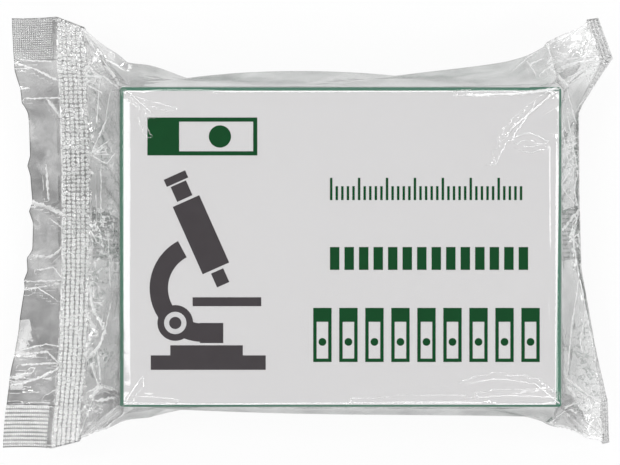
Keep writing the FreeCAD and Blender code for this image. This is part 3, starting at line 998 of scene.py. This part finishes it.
def card_material(name, paper, edge=None):
    """Coated card: fine grain, and for the lid, printed green sides that come a little way over the top's
    edges."""
    m = material_shader(name)
    place = m.place()
    x, y, z = m.split(place)
    grain = m.noise(place, 3.0, 4.0, 0.6)
    cloud = m.noise(place, 0.03, 2.0, 0.5)
    colour = m.mix_colour(cloud, shade_of(paper, 0.97), shade_of(paper))
    if edge:
        # The printed border is widest along the left side and at the front of the right side.
        right = lid_high[0] - (x + m.ramp(y, 20, -28, 0.45, 1.0))
        left = x - (lid_low[0] + 0.75)
        back = lid_high[1] - 0.7 - y
        front = y - (lid_low[1] + 0.45)
        inside = m.least(m.least(right, left), m.least(back, front))
        inside = m.least(inside, z - (lid_high[2] - 0.15))
        green = m.mix_colour(m.noise(place, 0.1, 2.0), shade_of(edge, 0.85), shade_of(edge))
        colour = m.mix_colour(m.ramp(inside, -0.04, 0.04), green, colour)
    looks = {"Base Color": colour, "Roughness": 0.42, "Normal": m.bump(grain, 0.02)}
    return m.finish(m.node("BsdfPrincipled", 0, looks))


def ink_material(name, colour):
    m = material_shader(name)
    place = m.place()
    mixed = m.mix_colour(m.noise(place, 0.4, 3.0), shade_of(colour, 0.88), shade_of(colour, 1.1))
    looks = {"Base Color": mixed, "Roughness": 0.5, "Specular IOR Level": 0.15}
    looks["Normal"] = m.bump(m.noise(place, 4.0, 2.0), 0.01)
    return m.finish(m.node("BsdfPrincipled", 0, looks))


# ------------ the film wrap

film = fold_film(fine=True)
folded = film.points.astype(float)
count, across, _ = folded.shape
# Columns are counted from the middle of the underside, where the back seal hides the pattern's two edges.
col = (film.s + girth / 2) % girth
u0, s0 = np.meshgrid(film.rows[:-1], col, indexing="ij")
u1, s1 = np.meshgrid(film.rows[1:], col + girth / across, indexing="ij")
uv = np.stack([u0, s0, u0, s1, u1, s1, u1, s0], 2).reshape(-1, 2) / flat_unit
faces = grid_faces(count, across)
wrap = mesh_object("film_sleeve", (folded * mm).reshape(-1, 3), faces, film_material(), uv)
upper = (from_middle(film.s) < seal_half - 0.3)[None, :]


def store(name, kind, field, values):
    """Keeps a value for each point of the film, which its material reads."""
    attribute = wrap.data.attributes.new(name, kind, "POINT")
    attribute.data.foreach_set(field, values.astype(np.float32).ravel())


store("crease", "FLOAT", "value", creasing(folded) * upper)
# The fold lines are shared out between two sets, so that neighbours don't meet in one.
for name, lines in (("lines_a", fold_lines[0::2]), ("lines_b", fold_lines[1::2])):
    place, weight, width, white = line_places(folded, lines)
    store(name, "FLOAT_VECTOR", "vector", np.stack([place, width, weight * white * upper], 2))
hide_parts("film_wrap")

# The back seal: the sheet's two long edges, joined and folded down along the middle of the underside.
half_seal, seal_step = round(back_seal / 2 / (girth / across)), 2
centre = across // 2
beside = np.arange(centre - half_seal, centre + half_seal + 1, seal_step)
lengthwise = slice(film.zone["left band"][1] + 1, film.zone["right band"][0])
strip = film.points[lengthwise, beside]
outward = film.normals()[lengthwise, beside].astype(float)
outward *= np.sign((outward * (strip - [0, 0, seal_level])).sum(2, keepdims=True))
strip = strip.astype(float)
ring = np.concatenate([strip + outward * 0.07, (strip + outward * 0.15)[:, ::-1]], 1) * mm
ring[..., 2] = np.maximum(ring[..., 2], 0.02 * mm)
faces = grid_faces(*ring.shape[:2])
seal_strip = mesh_object("back_seal", ring.reshape(-1, 3), faces, seal_material())

# ------------ the card and print

lid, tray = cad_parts["carton_lid"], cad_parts["filled_tray"]
lid.data.materials[0] = card_material("coated_card", (0.755, 0.747, 0.751), (0.002, 0.150, 0.078))
tray.data.materials[0] = card_material("raw_card", (0.60, 0.585, 0.555))


def disc(x, y, radius, corners=48):
    turn = [2 * math.pi * i / corners for i in range(corners)]
    return [(x + radius * math.cos(a), y + radius * math.sin(a)) for a in turn]


def bar(x0, y0, x1, y1):
    return [(x0, y0), (x1, y0), (x1, y1), (x0, y1)]


def tilted(shape, degrees, x, y):
    c, s = math.cos(math.radians(degrees)), math.sin(math.radians(degrees))
    return [(x + (px - x) * c - (py - y) * s, y + (px - x) * s + (py - y) * c) for px, py in shape]


def arc(x, y, inner, outer, start, stop, steps=32):
    turn = [math.radians(start + (stop - start) * i / steps) for i in range(steps + 1)]
    corners = [(outer, a) for a in turn] + [(inner, a) for a in reversed(turn)]
    return [(x + radius * math.cos(a), y + radius * math.sin(a)) for radius, a in corners]


def frame_of(x0, y0, x1, y1, line):
    return [bar(x0, y0, x1, y0 + line), bar(x0, y1 - line, x1, y1), bar(x0, y0 + line, x0 + line, y1 - line),
            bar(x1 - line, y0 + line, x1, y1 - line)]


def printed(name, shapes, material, lift, step=0.0):
    """A layer of ink: flat shapes, lift millimetres above the lid, and each step above the one before."""
    points, faces = [], []
    for i, shape in enumerate(shapes):
        faces.append(tuple(range(len(points), len(points) + len(shape))))
        points += [(x * mm, y * mm, (lid_high[2] + lift + step * i) * mm) for x, y in shape]
    piece = mesh_object(name, points, faces, material, smooth_shaded=False)
    return piece


green = ink_material("green_ink", (0.001, 0.068, 0.016))
grey = ink_material("grey_ink", (0.068, 0.060, 0.065))
paper = ink_material("bare_paper", (0.71, 0.705, 0.71))

# A slide lying down, where the pack's emblem is.
emblem = frame_of(-34.6, 16.4, -14.9, 23.2, 0.75)
emblem += [bar(-33.85, 17.15, -28.9, 22.45), disc(-21.6, 19.8, 2.0)]
# A scale, a row of small bars, and a row of slides standing up, where its lines of lettering are.
scale = [bar(-1.9 + i, 8.4, -1.9 + i + 0.45, 12.4 if i % 5 == 0 else 10.9) for i in range(35)]
row = [bar(-1.9 + 2.6 * i, -4.1, -0.2 + 2.6 * i, 0.0) for i in range(14)]
slides = []
for i in range(9):
    x = -4.9 + 4.66 * i
    slides += frame_of(x, -20.6, x + 3.3, -10.9, 0.62)
    slides += [bar(x + 0.62, -13.4, x + 2.68, -11.52), disc(x + 1.65, -17.0, 0.7, 24)]
printed("print_green", emblem + scale + row + slides, green, 0.01)

# A plain microscope. Its tube leans back.
tube = (
    (-27.6, -4.4, -22.4, 8.8),
    (-26.5, 9.3, -23.5, 12.2),
    (-27.1, 12.5, -22.9, 13.9),
    (-26.2, -7.6, -23.8, -4.9),
)
microscope = [
    bar(-34.0, -22.0, -13.4, -19.4),
    bar(-30.5, -19.4, -17.5, -17.6),
    arc(-24.6, -7.4, 6.3, 9.6, 118, 268),
    bar(-25.2, -17.2, -21.0, -13.6),
    bar(-26.5, -10.6, -14.2, -9.0),
    *(tilted(bar(*tube_part), 24, -25.0, 2.2) for tube_part in tube),
    disc(-29.6, -13.6, 3.2),
]
printed("print_grey", microscope, grey, 0.01, step=0.002)
printed("print_knob", [arc(-29.6, -13.6, 1.1, 2.0, 0, 360)], paper, 0.04)

# ------------ floor, light, camera

m = material_shader("floor_white")
tone = m.mix_colour(m.noise(m.place(), 0.01), (0.965, 0.965, 0.965, 1), (0.97, 0.97, 0.97, 1))
# The floor is white to the camera and in the film, and keeps a share of the pack's shadow.
seen = m.most(m.ray("Camera"), m.most(m.ray("Glossy"), m.ray("Transmission")))
matte = m.node("BsdfDiffuse", 0, {"Color": tone})
white = m.node("Emission", 0, {"Color": (1, 1, 1, 1), "Strength": 1.0})
floor_white = m.finish(m.node("MixShader", 0, {0: seen * 0.9, 1: matte, 2: white}))
mesh = bpy.data.meshes.new("floor")
mesh.from_pydata([(-2, -2, 0), (2, -2, 0), (2, 2, 0), (-2, 2, 0)], [], [(0, 1, 2, 3)])
mesh.materials.append(floor_white)
floor = bpy.data.objects.new("floor", mesh)
bpy.context.collection.objects.link(floor)

scene = bpy.context.scene
world = bpy.data.worlds.new("studio")
scene.world = world
# White round the horizon, as the room behind the pack, and dark overhead, where the camera is.
sky = Shader(world, "OutputWorld")
up = sky.split(sky.node("TexCoord", 0))[2]
level = sky.ramp(sky.ramp(up, 0.80, 0.93), 0, 1, 1.0, 0.02)
seen = sky.most(sky.ray("Camera"), sky.ray("Transmission"))
strength = level * (0.37 + (seen * 0.63 + sky.ray("Glossy") * 0.38))
sky.finish(sky.node("Background", 0, {"Color": (1.0, 1.0, 1.0, 1), "Strength": strength}))

middle, lamp_distance = Vector((0, 0, lid_high[2] * mm)), 0.65


def softbox(name, azimuth, elevation, width, height, power):
    lamp = bpy.data.lights.new(name, "AREA")
    lamp.shape = "RECTANGLE"
    lamp.size, lamp.size_y, lamp.energy = width, height, power
    holder = bpy.data.objects.new(name, lamp)
    a, e = math.radians(azimuth), math.radians(elevation)
    way = Vector((math.sin(a) * math.cos(e), -math.cos(a) * math.cos(e), math.sin(e)))
    holder.location = middle + lamp_distance * way
    holder.rotation_euler = (middle - holder.location).to_track_quat("-Z", "Y").to_euler()
    bpy.context.collection.objects.link(holder)


softbox("softbox_left", 262, 58, 0.20, 0.36, 0.90)
softbox("softbox_back", 175, 55, 0.36, 0.20, 0.90)
softbox("softbox_right", 82, 52, 0.20, 0.34, 0.86)
softbox("softbox_front", 350, 56, 0.34, 0.18, 0.75)
softbox("lamp_left", 236, 68, 0.07, 0.07, 0.31)
softbox("lamp_front", 305, 52, 0.07, 0.07, 0.29)
softbox("lamp_back", 128, 54, 0.07, 0.07, 0.29)
softbox("lamp_right", 40, 66, 0.07, 0.07, 0.31)

# The camera looks straight down, from this far to the side of the carton's middle and above its lid.
aside_x, aside_y, above_lid = -5.47, 2.6, 401.0
camera = bpy.data.cameras.new("camera")
camera.lens, camera.sensor_width = 130, 36
viewer = bpy.data.objects.new("camera", camera)
viewer.location = (aside_x * mm, aside_y * mm, (lid_high[2] + above_lid) * mm)
viewer.rotation_euler = (0, 0, 0)
bpy.context.collection.objects.link(viewer)
scene.camera = viewer

scene.view_settings.view_transform = "Standard"
scene.cycles.transparent_max_bounces = 32
scene.cycles.max_bounces = 8
